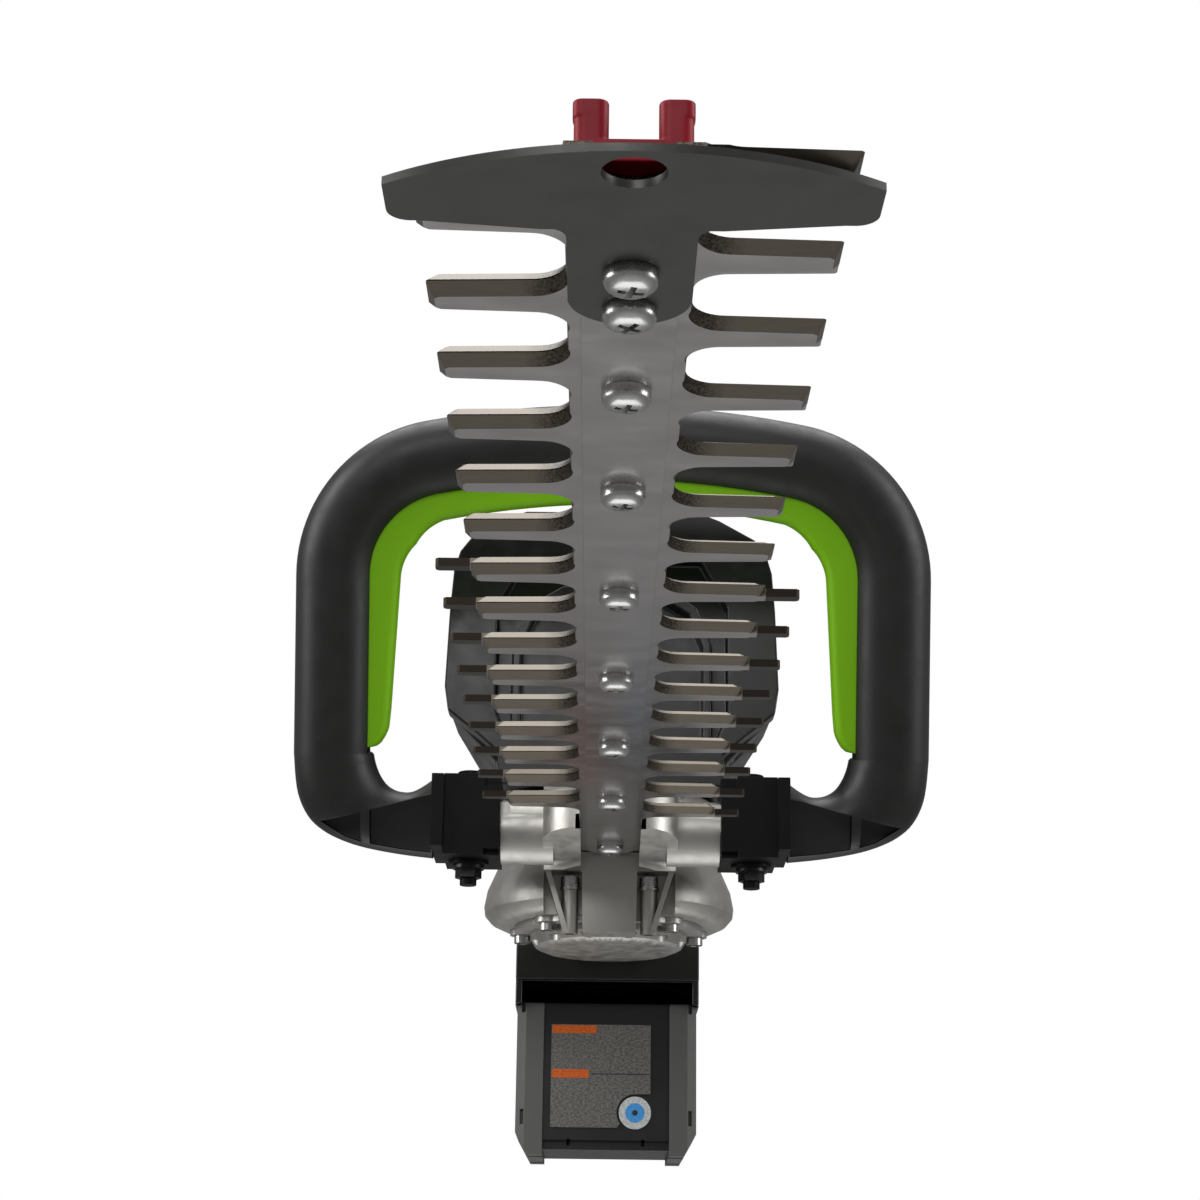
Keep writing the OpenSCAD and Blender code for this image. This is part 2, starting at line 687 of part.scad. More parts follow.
module housing_shell() station() {
    difference() {
        housing_form(0);
        difference() {
            housing_form(3);
            for (p = housing_bosses) across(-90, 90) translate(p) circle(r = 5);
            block([-90, 976, -20], [90, 990, 120]);
        }
        for (p = housing_bosses) across(-22, 26) translate(p) circle(r = 1.9);
        for (p = housing_bosses) across(26, 90) translate(p) circle(r = 4.2);
        along(975, 990) translate([0, hub_z]) circle(r = neck_clear);
        both() for (i = [0:6]) across(40, 90) translate([800 + 11 * i, 78])
            polygon([[0, 0], [4, 0], [16, 46], [12, 46]]);
        translate([0, crank_s, 0]) post(30, 30, 40);
        translate([0, motor_s, 0]) post(31.3, 20, 42);
        across(-20, 20) polygon([[872, 0], [944, 0], [944, 40], [872, 40]]);
        block([-9.4, 954.6, 94], [9.4, 978, 130]);
    }
}

module right_housing() color("#1f1f1d") intersection() {
    housing_shell();
    translate([0, -400, -200]) cube([200, 900, 700]);
}
module left_housing() color("#1f1f1d") intersection() {
    housing_shell();
    translate([-200, -400, -200]) cube([200, 900, 700]);
}

// Pan screw driven towards -X, its head seated at x
module case_screw(x, r, head_r, l) translate([x, 0, 0]) rotate([0, -90, 0]) difference() {
    union() {
        post(r, -0.5, l);
        post(head_r, -2.4, 0);
    }
    for (a = [0, 90]) rotate(a) block([-head_r * 0.6, -0.5, -3], [head_r * 0.6, 0.5, -1.2]);
}

module housing_screws() color("#8c8c90") station() for (p = housing_bosses)
    translate([0, p[0], p[1]]) case_screw(26, 1.88, 3.8, 44);

module controller_board() color("#1f5f38") station() {
    block([-34, 884, 62], [34, 966, 63.6]);
    for (x = [-24, -8, 8, 24]) block([x - 5, 890, 63.6], [x + 5, 905, 68]);
    for (x = [-18, 0, 18]) translate([x, 946, 0]) post(6, 63.6, 84);
    block([-14, 916, 63.6], [4, 934, 66]);
}

module controller_heatsink() color("#9da0a4") station() {
    block([-32, 888, 68.2], [32, 908, 71]);
    for (x = [-31:6:29]) block([x, 888, 71], [x + 2, 908, 86]);
}

// ---- Battery bay and battery ----

module battery_bay() color("#1b1b1a") station() difference() {
    union() {
        block([-50, 866, -47], [50, 960, -28]);
        block([-46, 866, -30], [46, 958, bay_top]);
        both() block([46.4, 869, -60], [50, 957, -40]);
    }
    block([-41, 874.5, -80], [41, 948.5, pack_top + 0.5]);
    both() block([0, 871.5, -80], [46.4, 952.5, -46.4]);
    block([-49.4, 871.5, -80], [49.4, 952.5, -46.4]);
    block([-30, 880, 0], [30, 940, 16]);
    block([-12.4, 946, -26], [12.4, 962, -9.6]);
}

module bay_terminals() color("#b98a3a") station() {
    block([-30, 880, pack_top + 1], [30, 940, pack_top + 5]);
    for (x = [-20:10:20]) block([x - 0.6, 896, pack_top - 8], [x + 0.6, 908, pack_top + 1]);
}

module battery_case() color("#242423") station() difference() {
    union() {
        block([-44, 876.5, pack_bottom + 3], [44, 947.5, -46.8]);
        block([-34, pack_s + 0.8, pack_bottom + 8], [34, 951, -47.5]);
        block([-40.4, 875, -47], [40.4, 948, pack_top]);
    }
    for (x = [-20:10:20]) block([x - 1.4, 893, pack_top - 12], [x + 1.4, 911, pack_top + 1]);
    both() block([38, 870, -36], [41, 940, -28]);
    block([-12.6, 944.5, -28], [12.6, 949, -8]);
    for (x = [-20, 20]) block([x - 1, 870, pack_bottom + 5], [x + 1, 955, pack_bottom + 8.5]);
}

// Grey rubber corner columns of the battery, bevelled outside
module battery_bumpers() color("#4a4c4a") station() both() difference() {
    translate([0, 0, pack_bottom]) linear_extrude(height = 90 - 0.6)
        polygon([[34.2, pack_s], [44, pack_s], [pack_w / 2, pack_s + 5], [pack_w / 2, pack_s + pack_d - 5],
            [44, pack_s + pack_d], [34.2, pack_s + pack_d]]);
    block([30, 876.3, pack_bottom + 2.8], [44.2, 947.7, -40]);
    across(30, 60) for (s = [pack_s + 12, pack_s + pack_d - 20]) polygon([[s, -150], [s + 8, -150],
        [s + 8, pack_bottom + 1.6], [s, pack_bottom + 1.6]]);
    for (z = [pack_bottom + 16, -64]) block([44.5, pack_s - 1, z], [46.5, pack_s + 4, z + 8]);
    along(pack_s - 1, pack_s + pack_d + 1) polygon([[41.5, pack_bottom - 1], [60, pack_bottom - 1],
        [60, pack_bottom + 22], [pack_w / 2, pack_bottom + 12]]);
}

module battery_label() color("#6e6c69") station() {
    along(pack_s, pack_s + 0.8) difference() {
        polygon([[-30, -125.5], [6, -125.5], [10, -122], [24, -108], [24, -70.5], [-30, -70.5]]);
        translate([15.7, -117.5]) circle(r = 10);
    }
    along(pack_s, pack_s + 0.8) translate([15.7, -117.5]) circle(r = 8.7);
}

module battery_contacts() color("#c9a24a") station() for (x = [-20:10:20])
    both() block([x + 0.75, 894, pack_top - 11.9], [x + 1.38, 910, pack_top - 2]);

module battery_latch() color("#5c5c58") station() {
    block([-12, 949.2, -25.6], [12, 963, -10]);
    block([-9, 963, -24], [9, 966, -12]);
}

// ---- Rear handle ----

module swivel_ring() color("#2a2a28") station() difference() {
    along(986.2, hub_s) translate([0, hub_z]) circle(r = hub_r);
    along(980, hub_s + 5) translate([0, hub_z]) circle(r = neck_clear);
    for (a = [-90:45:90]) translate([0, 0, hub_z]) rotate([0, a, 0]) block([-3, 986, 36], [3, 990, 41]);
}

function grip_outer(t) = [[1004 + t, 18 + t], [1004 + t, 90 - t], [1030, 104 - t], [1148, 104 - t],
    [1184 - t, 86 - t / 2], [handle_back - t, 50], [handle_back - 4 - t, 10], [1168, -24 + t],
    [1062, -30 + t], [1022, -8 + t]];
function grip_inner(t) = [[1048 - t, 18], [1048 - t, 58], [1060, 66 + t], [1142, 66 + t],
    [1158 + t, 50], [1156 + t, 18], [1142, 8 - t], [1062, 8 - t]];

// Grip tube about the opening, with sides narrowed by bevels
module grip_form(t) intersection() {
    across(-handle_t / 2 + t, handle_t / 2 - t) difference() {
        polygon(grip_outer(t));
        polygon(grip_inner(t));
    }
    union() {
        across(-handle_t / 2 + 5 + t, handle_t / 2 - 5 - t) polygon(grip_outer(t));
        across(-handle_t / 2 + t, handle_t / 2 - t) difference() {
            polygon(grip_outer(t + 4));
            polygon(grip_inner(t + 4));
        }
    }
}

module rear_handle_shell() station() difference() {
    union() {
        grip_form(0);
        along(hub_s + 0.4, hub_s + 12) translate([0, hub_z]) circle(r = hub_r);
        along(972, hub_s + 2) translate([0, hub_z]) circle(r = 33.2);
        along(969, 974.6) translate([0, hub_z]) circle(r = 36);
    }
    difference() {
        grip_form(3);
        for (p = handle_bosses) across(-30, 30) translate(p) circle(r = 4.5);
        both() across(8.8, 30) translate(trigger_pin) circle(r = 4.2);
    }
    across(-11.3, 11.3) translate(trigger_pin) circle(r = 2);
    along(960, hub_s + 8) translate([0, hub_z]) circle(r = 28);
    for (p = handle_bosses) {
        across(-12, 14) translate(p) circle(r = 1.6);
        across(13, 30) translate(p) circle(r = 3.6);
    }
    block([-8.4, 1056, 60], [8.4, 1106, 76]);
    block([-9.4, 1047, 90], [9.4, 1069, 110]);
}

module right_rear_handle() color("#1d1d1b") intersection() {
    rear_handle_shell();
    translate([0, -400, -200]) cube([200, 1100, 700]);
}
module left_rear_handle() color("#1d1d1b") intersection() {
    rear_handle_shell();
    translate([-200, -400, -200]) cube([200, 1100, 700]);
}

module rear_handle_screws() color("#8c8c90") station() for (p = handle_bosses)
    translate([0, p[0], p[1]]) case_screw(13, 1.58, 3.2, 24);

// Trigger on a pin at its front, in the slot under the top bar
module rear_trigger() color("#84c81e") station() difference() {
    union() {
        across(-8, 8) polygon([[1057, 64], [1060, 52], [1074, 47], [1094, 50], [1102, 58],
            [1102, 70], [1057, 70]]);
        across(-8, 8) translate(trigger_pin) circle(r = 4);
        across(-8, 8) polygon([[1057, 69], [1065, 69], [1065, 74], [1057, 74]]);
        across(-11, 11) translate(trigger_pin) circle(r = 1.9);
    }
    across(-4, 4) polygon([[1068, 62], [1098, 62], [1098, 71], [1068, 71]]);
}

module trigger_switch() color("#2c2c2c") station() {
    block([-8, 1076, 84], [8, 1100, 100]);
    block([-2, 1090, 81], [2, 1094, 84]);
}

module trigger_spring() color("#c0c0c0") station() translate([0, 1082, 0]) difference() {
    post(3, 62.3, 84);
    post(2.2, 60, 85);
}

module lock_off_button() color("#84c81e") station() {
    block([-9, 1047.4, 94], [9, 1068.6, 109]);
}

module swivel_latch() color("#84c81e") station() {
    block([-9, 960, 98], [9, 977.6, 112]);
}

lower_blade();
upper_blade();
lower_guide_bar();
upper_guide_bar();
tip_guard();
tip_clip();
blade_bolts();
blade_spacers();
blade_nuts();
blade_seal();
gear_case();
gear_cover();
cover_screws();
nose_screws();
crank_gear();
eccentric_shaft();
crank_bearings();
motor_pinion();
motor_shaft();
motor_rotor();
motor_stator();
motor_windings();
motor_fan();
motor_bearings();
motor_bracket();
front_handle();
left_clamp_block();
right_clamp_block();
clamp_bolts();
clamp_nuts();
front_switch_bar();
front_micro_switch();
switch_bar_springs();
front_shroud();
left_housing();
right_housing();
housing_screws();
controller_board();
controller_heatsink();
battery_bay();
bay_terminals();
battery_case();
battery_bumpers();
battery_label();
battery_contacts();
battery_latch();
swivel_ring();
left_rear_handle();
right_rear_handle();
rear_handle_screws();
rear_trigger();
trigger_switch();
trigger_spring();
lock_off_button();
swivel_latch();
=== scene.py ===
"""Hedge trimmer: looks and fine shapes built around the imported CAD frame."""
import json
import math

import bmesh
import bpy
from mathutils import Matrix, Vector


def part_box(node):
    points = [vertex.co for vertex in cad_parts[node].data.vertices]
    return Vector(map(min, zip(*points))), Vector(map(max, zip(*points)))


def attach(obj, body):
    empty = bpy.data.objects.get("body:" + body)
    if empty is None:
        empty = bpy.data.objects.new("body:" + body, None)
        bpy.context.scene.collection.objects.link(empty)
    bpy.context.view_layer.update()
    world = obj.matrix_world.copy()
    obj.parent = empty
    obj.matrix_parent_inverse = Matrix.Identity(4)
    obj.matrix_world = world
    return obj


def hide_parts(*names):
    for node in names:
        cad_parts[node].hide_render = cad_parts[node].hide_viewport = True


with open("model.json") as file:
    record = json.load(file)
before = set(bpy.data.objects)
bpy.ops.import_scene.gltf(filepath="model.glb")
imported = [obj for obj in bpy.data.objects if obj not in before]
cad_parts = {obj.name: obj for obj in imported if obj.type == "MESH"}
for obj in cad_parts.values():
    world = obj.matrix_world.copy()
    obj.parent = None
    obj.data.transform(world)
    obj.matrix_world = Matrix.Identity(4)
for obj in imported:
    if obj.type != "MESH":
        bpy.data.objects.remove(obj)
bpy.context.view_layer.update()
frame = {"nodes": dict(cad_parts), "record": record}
scene = bpy.context.scene
NODES = frame["nodes"]
MM = 0.001

# Stations run along the tool from near the tip, and the crank's bearings are centred on CRANK_S.
# Heights count from the lower blade's underside.
CRANK_S = 800
STATION_0 = sum(corner[1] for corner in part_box("crank_bearings")) / 2 - CRANK_S * MM
BLADE_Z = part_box("lower_blade")[0][2]
HANDLE_W = 316 * MM
LEAN = math.radians(17)


def place(x, s, z):
    """A point in millimetres (x, station, height) in the frame, in metres."""
    return Vector((x * MM, STATION_0 + s * MM, BLADE_Z + z * MM))


# STATION takes (x, station, height) to the frame. LOOP does so for the front handle's own plane, which
# stands on LOOP_FOOT and leans forward by LEAN, with v up the handle.
LOOP_FOOT = (0, 729, 12)
STATION = Matrix.Translation(place(0, 0, 0)) @ Matrix.Scale(MM, 4)
LOOP = STATION @ Matrix.Translation(LOOP_FOOT) @ Matrix.Rotation(math.radians(90) + LEAN, 4, "X")


# ---------------------------------------------------------------- materials

class Look:
    """Small builder for one procedural material."""

    def __init__(self, name, colour, rough, metal=0.0, **sockets):
        self.mat = bpy.data.materials.new(name)
        self.mat.use_nodes = True
        self.tree = self.mat.node_tree
        self.bsdf = self.tree.nodes["Principled BSDF"]
        self.where = self.node("ShaderNodeTexCoord").outputs["Object"]
        self.colour = colour
        self.rough = rough
        self.bsdf.inputs["Base Color"].default_value = (*colour, 1)
        self.bsdf.inputs["Roughness"].default_value = rough
        self.bsdf.inputs["Metallic"].default_value = metal
        for key, value in sockets.items():
            self.bsdf.inputs[key.replace("_", " ")].default_value = value
        self.height = None

    def node(self, kind, **values):
        """A new shader node, with its input sockets or its settings given by name."""
        made = self.tree.nodes.new(kind)
        for key, value in values.items():
            if key in made.inputs:
                made.inputs[key].default_value = value
            else:
                setattr(made, key, value)
        return made

    def link(self, a, b):
        """Joins output a to input b."""
        self.tree.links.new(a, b)

    def noise(self, scale, stretch=(1, 1, 1), detail=3.0, rough=0.55):
        """Noise in object space; scale is in cycles per metre."""
        mapping = self.node("ShaderNodeMapping")
        mapping.inputs["Scale"].default_value = stretch
        self.link(self.where, mapping.inputs["Vector"])
        made = self.node("ShaderNodeTexNoise")
        made.inputs["Scale"].default_value = scale
        made.inputs["Detail"].default_value = detail
        made.inputs["Roughness"].default_value = rough
        self.link(mapping.outputs["Vector"], made.inputs["Vector"])
        return made.outputs["Fac"]

    def spread(self, value, low, high, start=0.3, end=0.7):
        """Maps start..end of a value to low..high."""
        made = self.node("ShaderNodeMapRange")
        made.inputs["From Min"].default_value = start
        made.inputs["From Max"].default_value = end
        made.inputs["To Min"].default_value = low
        made.inputs["To Max"].default_value = high
        self.link(value, made.inputs["Value"])
        return made.outputs["Result"]

    def mix(self, factor, a, b):
        """Blends from a to b; each is a plain colour or a socket."""
        made = self.node("ShaderNodeMix", data_type="RGBA")
        for socket, value in ((made.inputs[6], a), (made.inputs[7], b)):
            if isinstance(value, tuple):
                socket.default_value = (*value, 1)
            else:
                self.link(value, socket)
        self.link(factor, made.inputs[0])
        return made.outputs[2]

    def tint(self, factor, amount):
        """Colour variation of plus or minus amount, following factor."""
        low = tuple(c * (1 - amount) for c in self.colour)
        high = tuple(min(1.0, c * (1 + amount)) for c in self.colour)
        self.paint(self.mix(factor, low, high))

    def paint(self, colour):
        """Base colour from a socket."""
        self.link(colour, self.bsdf.inputs["Base Color"])

    def polish(self, value, low, high):
        """Roughness between low and high, following value."""
        self.link(self.spread(value, low, high), self.bsdf.inputs["Roughness"])

    def bump(self, value, distance, strength=0.5):
        """Adds a relief, on top of any relief that is already there; distance is in metres."""
        made = self.node("ShaderNodeBump")
        made.inputs["Distance"].default_value = distance
        made.inputs["Strength"].default_value = strength
        self.link(value, made.inputs["Height"])
        if self.height is not None:
            self.link(self.height, made.inputs["Normal"])
        self.height = made.outputs["Normal"]
        self.link(self.height, self.bsdf.inputs["Normal"])


def moulded(name, colour, rough, grain=1800, depth=0.00002, **sockets):
    """Moulded plastic: fine spark-eroded grain, slow colour and gloss drift."""
    look = Look(name, colour, rough, **sockets)
    drift = look.noise(14, detail=2)
    look.tint(drift, 0.12)
    look.polish(look.noise(90), rough - 0.06, rough + 0.07)
    look.bump(look.noise(grain, detail=1), depth, 0.45)
    return look.mat


def metal(name, colour, rough, streak=(1, 1, 1), scale=260, depth=0.000012, spread=0.08, **sockets):
    """Bare or plated metal with directional working marks."""
    look = Look(name, colour, rough, metal=1.0, **sockets)
    marks = look.noise(scale, streak, detail=5, rough=0.6)
    look.tint(marks, 0.1)
    look.polish(marks, rough - spread, rough + spread)
    look.bump(marks, depth, 0.5)
    return look.mat


def blade_finish(name, flat, ground, dark, rough):
    """Rolled flat faces, darker ground bevels, painted shade in the gullets and dark blunt fingers."""
    look = Look(name, flat, rough, metal=1.0)
    split = look.node("ShaderNodeSeparateXYZ")
    look.link(look.node("ShaderNodeNewGeometry").outputs["True Normal"], split.inputs[0])
    spot = look.node("ShaderNodeSeparateXYZ")
    look.link(look.where, spot.inputs[0])
    up = look.node("ShaderNodeMath", operation="ABSOLUTE")
    out = look.node("ShaderNodeMath", operation="ABSOLUTE")
    look.link(split.outputs["Z"], up.inputs[0])
    look.link(spot.outputs["X"], out.inputs[0])
    is_flat = look.spread(up.outputs[0], 0, 1, 0.9, 0.94)
    # The painted shade fades going out from the gullets, and the fingers start just past the teeth
    is_root = look.spread(out.outputs[0], 1, 0, 19.5 * MM, 26 * MM)
    is_finger = look.spread(out.outputs[0], 0, 1, 48.1 * MM, 48.5 * MM)
    rolled = look.noise(45, (1, 2.2, 1), detail=7)
    lines = look.noise(700, (0.12, 4, 1), detail=3)
    speck = look.noise(1500, detail=2)
    # Painted shade: the gullet walls are darkened, with a speckle through the shade
    gullet_shade = look.mix(look.spread(speck, 0, 1, 0.4, 0.62), dark, tuple(c * 0.7 for c in ground))
    cut = look.mix(look.spread(lines, 0, 1, 0.25, 0.75), tuple(c * 0.84 for c in ground), ground)
    walls = look.mix(is_root, cut, gullet_shade)
    plain = look.mix(look.spread(rolled, 0, 1),
                     tuple(c * 0.94 for c in flat), tuple(c * 1.06 for c in flat))
    body = look.mix(is_flat, walls, plain)
    look.paint(look.mix(is_finger, body, tuple(c * 0.5 for c in dark)))
    uneven = look.spread(rolled, rough - 0.03, rough + 0.05)
    matt = look.node("ShaderNodeMix", data_type="FLOAT")
    look.link(is_flat, matt.inputs[0])
    matt.inputs[2].default_value = 0.42
    look.link(uneven, matt.inputs[3])
    look.link(matt.outputs[0], look.bsdf.inputs["Roughness"])
    look.bump(lines, 0.000006, 0.3)
    return look.mat


def printed(name, colour, speckle, scale, rough=0.42):
    """Printed film: a base colour with a fine mottle of dots and dashes."""
    look = Look(name, colour, rough)
    dots = look.noise(scale, (1, 1, 1.6), detail=3, rough=0.7)
    look.paint(look.mix(look.spread(dots, 0, 1, 0.42, 0.6), colour, speckle))
    look.polish(look.noise(120), rough - 0.05, rough + 0.05)
    look.bump(look.noise(500), 0.000008, 0.3)
    return look.mat


def cast(name, colour, rough):
    """Die-cast and tumbled aluminium: fine pebble, faint flow marks."""
    look = Look(name, colour, rough, metal=1.0)
    flow = look.noise(22, (1, 1, 0.4), detail=4)
    look.tint(flow, 0.09)
    look.polish(look.noise(160, detail=4), rough - 0.07, rough + 0.08)
    look.bump(look.noise(1500, detail=2), 0.00003, 0.4)
    look.bump(look.noise(120, detail=2), 0.00008, 0.25)
    return look.mat


MATS = {
    "blade_steel": blade_finish(
        "blade_steel", (0.58, 0.56, 0.56), (0.17, 0.148, 0.12), (0.045, 0.036, 0.028), 0.2),
    "guard_steel": moulded("guard_steel", (0.044, 0.044, 0.042), 0.36, 700, 0.00002, Metallic=0.35),
    "zinc_steel": metal("zinc_steel", (0.50, 0.50, 0.49), 0.27, (1, 1, 1), 420, 0.00006),
    "red_plastic": moulded(
        "red_plastic", (0.27, 0.001, 0.012), 0.45, 1200, 0.000008, Specular_IOR_Level=0.25),
    "felt": moulded("felt", (0.11, 0.09, 0.07), 0.9, 900, 0.0003),
    "cast_aluminium": cast("cast_aluminium", (0.45, 0.44, 0.41), 0.44),
    "gear_steel": metal("gear_steel", (0.36, 0.33, 0.30), 0.33),
    "motor_iron": metal("motor_iron", (0.17, 0.17, 0.18), 0.45, (1, 1, 30), 200),
    "copper": metal("copper", (0.66, 0.27, 0.09), 0.3, (1, 1, 12), 300),
    "black_steel": metal("black_steel", (0.035, 0.035, 0.037), 0.34, (1, 1, 1), 500),
    "handle_black": moulded("handle_black", (0.0055, 0.0055, 0.005), 0.46, 1500),
    "housing_black": moulded("housing_black", (0.0075, 0.0075, 0.007), 0.34, 1300, 0.000012),
    "inner_black": moulded("inner_black", (0.012, 0.012, 0.012), 0.5),
    "lime_plastic": moulded(
        "lime_plastic", (0.20, 0.50, 0.002), 0.45, 1500, 0.00001, Specular_IOR_Level=0.3),
    "board_green": moulded("board_green", (0.02, 0.14, 0.05), 0.3, 700, 0.00001),
    "heatsink_aluminium": metal("heatsink_aluminium", (0.6, 0.6, 0.61), 0.4, (1, 20, 20), 300),
    "battery_black": moulded("battery_black", (0.006, 0.006, 0.006), 0.42),
    "bumper_rubber": moulded("bumper_rubber", (0.088, 0.092, 0.087), 0.58, 1400, 0.00003),
    "label_grey": printed("label_grey", (0.165, 0.157, 0.145), (0.06, 0.058, 0.054), 700),
    "contact_brass": metal("contact_brass", (0.7, 0.5, 0.2), 0.3),
}
CLAMP_BLACK = moulded("clamp_black", (0.004, 0.004, 0.0038), 0.46, 1500, Specular_IOR_Level=0.1)
PRINT_ORANGE = printed("print_orange", (0.66, 0.12, 0.005), (0.46, 0.07, 0.004), 700)
PRINT_WHITE = printed("print_white", (0.62, 0.64, 0.64), (0.4, 0.42, 0.43), 900)
PRINT_BLUE = printed("print_blue", (0.06, 0.34, 0.72), (0.04, 0.24, 0.6), 900)
PRINT_DARK = printed("print_dark", (0.012, 0.014, 0.02), (0.02, 0.025, 0.03), 900)
SLOT_OF = {part["node"]: part["material_slot"] for part in frame["record"]["subparts"]}
BODY_OF = {node: body for body, names in frame["record"]["behaviour"]["bodies"].items()
           for node in names}
# Every CAD node gets its look; those that no piece takes over are seen as they are
for node, slot in SLOT_OF.items():
    mesh = NODES[node].data
    mesh.materials.clear()
    mesh.materials.append(MATS[slot])


# ---------------------------------------------------------------- mesh helpers

def to_object(name, mesh, look):
    """An object in the scene; look is a material or the name of a slot."""
    made = bpy.data.objects.new(name, mesh)
    scene.collection.objects.link(made)
    mesh.materials.clear()
    mesh.materials.append(look if not isinstance(look, str) else MATS[look])
    return made


def from_bmesh(name, bm, look, matrix=None):
    """An object from a bmesh, which is used up, with its faces turned outward."""
    if matrix is not None:
        bm.transform(matrix)
    bmesh.ops.recalc_face_normals(bm, faces=bm.faces)
    mesh = bpy.data.meshes.new(name)
    bm.to_mesh(mesh)
    bm.free()
    return to_object(name, mesh, look)


def smooth(piece, degrees):
    """Smooth shading, with edges sharper than the angle left sharp."""
    piece.data.shade_smooth()
    piece.data.set_sharp_from_angle(angle=math.radians(degrees))
    return piece


def bake(piece, *modifiers):
    """Adds modifiers given as (type, settings), applies them all and keeps the result."""
    for kind, settings in modifiers:
        made = piece.modifiers.new(kind, kind)
        for key, value in settings.items():
            setattr(made, key, value)
    graph = bpy.context.evaluated_depsgraph_get()
    graph.update()
    result = bpy.data.meshes.new_from_object(piece.evaluated_get(graph))
    piece.modifiers.clear()
    piece.data = result
    return piece


def cut(piece, tool, operation="DIFFERENCE"):
    """A boolean that uses up the tool; a tool that came out inside out is turned first."""
    bm = bmesh.new()
    bm.from_mesh(tool.data)
    if bm.calc_volume(signed=True) < 0:
        bmesh.ops.reverse_faces(bm, faces=bm.faces)
        bm.to_mesh(tool.data)
    bm.free()
    bake(piece, ("BOOLEAN", {"object": tool, "operation": operation, "solver": "EXACT"}))
    bpy.data.objects.remove(tool)
    return piece


def stands_for(piece, *nodes):
    """The piece takes over CAD nodes: it rides on the same body, and the nodes are hidden."""
    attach(piece, BODY_OF[nodes[0]])
    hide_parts(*nodes)
    return piece


def chamfer(width, angle):
    """The modifier that rounds edges sharper than the angle, by a width in millimetres."""
    return ("BEVEL", {"width": width * MM, "segments": 2, "limit_method": "ANGLE",
                      "angle_limit": math.radians(angle), "use_clamp_overlap": True})


def soften(node, voxel, rounds):
    """A copy of a CAD node with every edge rounded, as a moulding or casting has."""
    piece = to_object(node + "_soft", NODES[node].data.copy(), SLOT_OF[node])
    bake(piece, ("REMESH", {"mode": "VOXEL", "voxel_size": voxel * MM}),
         ("SMOOTH", {"factor": 0.5, "iterations": rounds}),
         ("DECIMATE", {"ratio": 0.5}))
    smooth(piece, 60)
    return stands_for(piece, node)


def crisp(node, width, look=None, trim=()):
    """A copy of a CAD node with a small rounded chamfer on its hard edges, after trimming boxes off."""
    piece = to_object(node + "_edged", NODES[node].data.copy(), look or SLOT_OF[node])
    for (x0, s0, z0), (x1, s1, z1) in trim:
        bm = prism([(x0, s0), (x1, s0), (x1, s1), (x0, s1)], z0, z1)
        cut(piece, from_bmesh("trim", bm, SLOT_OF[node], STATION))
    bm = bmesh.new()
    bm.from_mesh(piece.data)
    bmesh.ops.remove_doubles(bm, verts=bm.verts, dist=2e-6)
    bmesh.ops.dissolve_limit(bm, angle_limit=math.radians(0.5), verts=bm.verts, edges=bm.edges)
    bm.to_mesh(piece.data)
    bm.free()
    bake(piece, chamfer(width, 28))
    smooth(piece, 32)
    bake(piece, ("WEIGHTED_NORMAL", {"keep_sharp": True, "weight": 100}))
    return stands_for(piece, node)


def skin(rings):
    """A closed mesh through rings of the same number of points."""
    bm = bmesh.new()
    loops = [[bm.verts.new(p) for p in ring] for ring in rings]
    count = len(rings[0])
    for a, b in zip(loops, loops[1:]):
        for j in range(count):
            k = (j + 1) % count
            bm.faces.new((a[j], a[k], b[k], b[j]))
    bm.faces.new(loops[0])
    bm.faces.new(loops[-1])
    return bm


def prism(outline, low, high, plane="xy"):
    """An outline extruded from low to high along the axis that plane leaves out."""
    def at(a, b, c):
        return {"xy": (a, b, c), "xz": (a, c, b), "yz": (c, a, b)}[plane]
    return skin([[at(a, b, low) for a, b in outline], [at(a, b, high) for a, b in outline]])


def lathe(profile, sides=48):
    """A solid turned about Z from a profile of (radius, height) that starts and ends on the axis."""
    bm = bmesh.new()
    start = bm.verts.new((0, 0, profile[0][1]))
    end = bm.verts.new((0, 0, profile[-1][1]))
    rings = [[bm.verts.new((r * math.cos(w), r * math.sin(w), z))
              for w in (2 * math.pi * i / sides for i in range(sides))]
             for r, z in profile[1:-1]]
    for i in range(sides):
        j = (i + 1) % sides
        bm.faces.new((start, rings[0][i], rings[0][j]))
        bm.faces.new((end, rings[-1][j], rings[-1][i]))
        for a, b in zip(rings, rings[1:]):
            bm.faces.new((a[i], a[j], b[j], b[i]))
    return bm


def arc(cx, cy, r, start, end, steps):
    """Points along an arc; the angles are in degrees."""
    return [(cx + r * math.cos(math.radians(start + (end - start) * i / steps)),
             cy + r * math.sin(math.radians(start + (end - start) * i / steps)))
            for i in range(steps + 1)]


def merge(parts):
    """One bmesh from several, each given as (bmesh, matrix)."""
    whole = bmesh.new()
    for bm, matrix in parts:
        bm.transform(matrix)
        spare = bpy.data.meshes.new("spare")
        bm.to_mesh(spare)
        bm.free()
        whole.from_mesh(spare)
        bpy.data.meshes.remove(spare)
    return whole


# ---------------------------------------------------------------- front handle

# The tube is 2 * TUBE_HALF wide in the plane of the loop and 2 * TUBE_R deep across it. Its centre line
# runs up the leg at LEG_X, round a corner of CORNER_R and over a flat crown of CROWN_R up to TOP_V.
TUBE_R = 17.5
TUBE_HALF = 19.5
LEG_X = HANDLE_W / MM / 2 - TUBE_HALF
TOP_V = 188
CORNER_R = 59
CROWN_R = 480
CROWN_A = math.asin((LEG_X - CORNER_R) / (CROWN_R - CORNER_R))
CORNER_V = TOP_V - CROWN_R + (CROWN_R - CORNER_R) * math.cos(CROWN_A)
CORNER_TURN = 90 - math.degrees(CROWN_A)
# The switch bar's groove starts at GROOVE_V and is 2 * GROOVE_W wide
GROOVE_V = 33
GROOVE_W = 7.6
GROOVE_DEEP = 9.5
